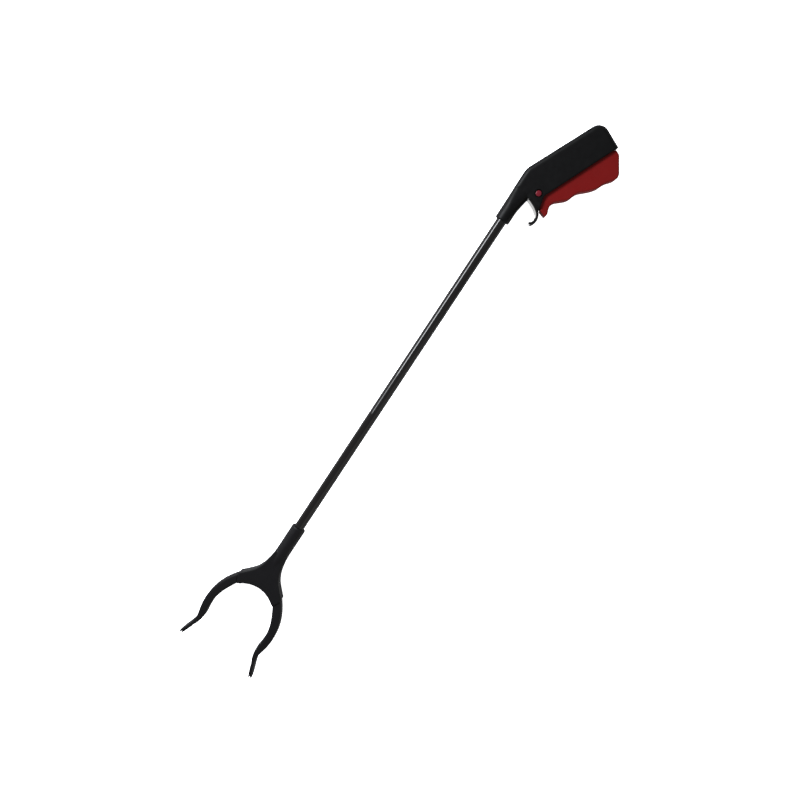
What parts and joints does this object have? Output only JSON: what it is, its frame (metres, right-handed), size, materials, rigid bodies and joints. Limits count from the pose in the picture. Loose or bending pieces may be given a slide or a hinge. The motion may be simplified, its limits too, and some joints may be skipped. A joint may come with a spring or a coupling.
{
  "type": "reacher grabber",
  "caption": "Long hand-held reacher grabber: hooked pistol handle with a squeeze trigger, slim straight tube and two curved jaws that close together.",
  "frame": {"origin": "centre of the bounding box's lowest face, with the tool lying on its right-hand side", "axes": "+X along the tube from the jaws to the handle, +Y up when the tool is held with its trigger below, +Z out of its left-hand side"},
  "size_m": [0.8122, 0.1418, 0.028],
  "materials": {
    "housing_black": "satin moulded ABS, fine spark texture",
    "trigger_red": "satin moulded ABS, deep red",
    "tube_black": "gloss black enamel on aluminium tube",
    "jaw_charcoal": "matt glass-filled nylon",
    "pad_rubber": "matt black rubber",
    "steel": "zinc-plated steel",
    "nylon": "natural nylon"
  },
  "bodies": {
    "frame": {"handle_shell_left": "housing_black", "handle_shell_right": "housing_black", "housing_screw_front": "steel", "housing_screw_knee": "steel", "housing_screw_middle": "steel", "housing_screw_rear": "steel", "socket_screw": "steel", "collar_screw": "steel", "trigger_pivot_pin": "trigger_red", "tube": "tube_black", "rod_guide_front": "nylon", "rod_guide_middle": "nylon", "rod_guide_rear": "nylon", "return_spring": "steel", "head_cover_left": "jaw_charcoal", "head_cover_right": "jaw_charcoal", "head_screw_upper": "steel", "head_screw_lower": "steel", "jaw_pivot_pin_upper": "steel", "jaw_pivot_pin_lower": "steel"},
    "trigger": {"trigger": "trigger_red", "trigger_drive_pin": "steel"},
    "rod": {"push_rod": "steel", "rod_clevis": "steel", "crosshead": "steel"},
    "jaw_upper": {"jaw_upper": "jaw_charcoal", "tip_pad_upper": "pad_rubber", "jaw_drive_pin_upper": "steel"},
    "jaw_lower": {"jaw_lower": "jaw_charcoal", "tip_pad_lower": "pad_rubber", "jaw_drive_pin_lower": "steel"}
  },
  "joints": [
    {"name": "trigger_hinge", "type": "hinge", "parent": "frame", "child": "trigger", "pos_m": [0.3023, -0.004, 0.014], "axis": [0, 0, 1], "range_deg": [0, 16], "stiffness_Nm_per_rad": 1.2, "springref_deg": -11.46},
    {"name": "rod_slide", "type": "slide", "parent": "frame", "child": "rod", "axis": [-1, 0, 0], "range_m": [0, 0.00524], "deforming": ["return_spring"]},
    {"name": "jaw_upper_hinge", "type": "hinge", "parent": "frame", "child": "jaw_upper", "pos_m": [-0.29, 0.0212, 0.014], "axis": [0, 0, 1], "range_deg": [0, 24.2]},
    {"name": "jaw_lower_hinge", "type": "hinge", "parent": "frame", "child": "jaw_lower", "pos_m": [-0.29, 0.0084, 0.014], "axis": [0, 0, -1], "range_deg": [0, 24.2]}
  ],
  "couplings": [
    {"joint": "rod_slide", "follows": "trigger_hinge", "m_per_rad": 0.018739},
    {"joint": "jaw_upper_hinge", "follows": "trigger_hinge", "ratio": 1.5125},
    {"joint": "jaw_lower_hinge", "follows": "trigger_hinge", "ratio": 1.5125}
  ]
}
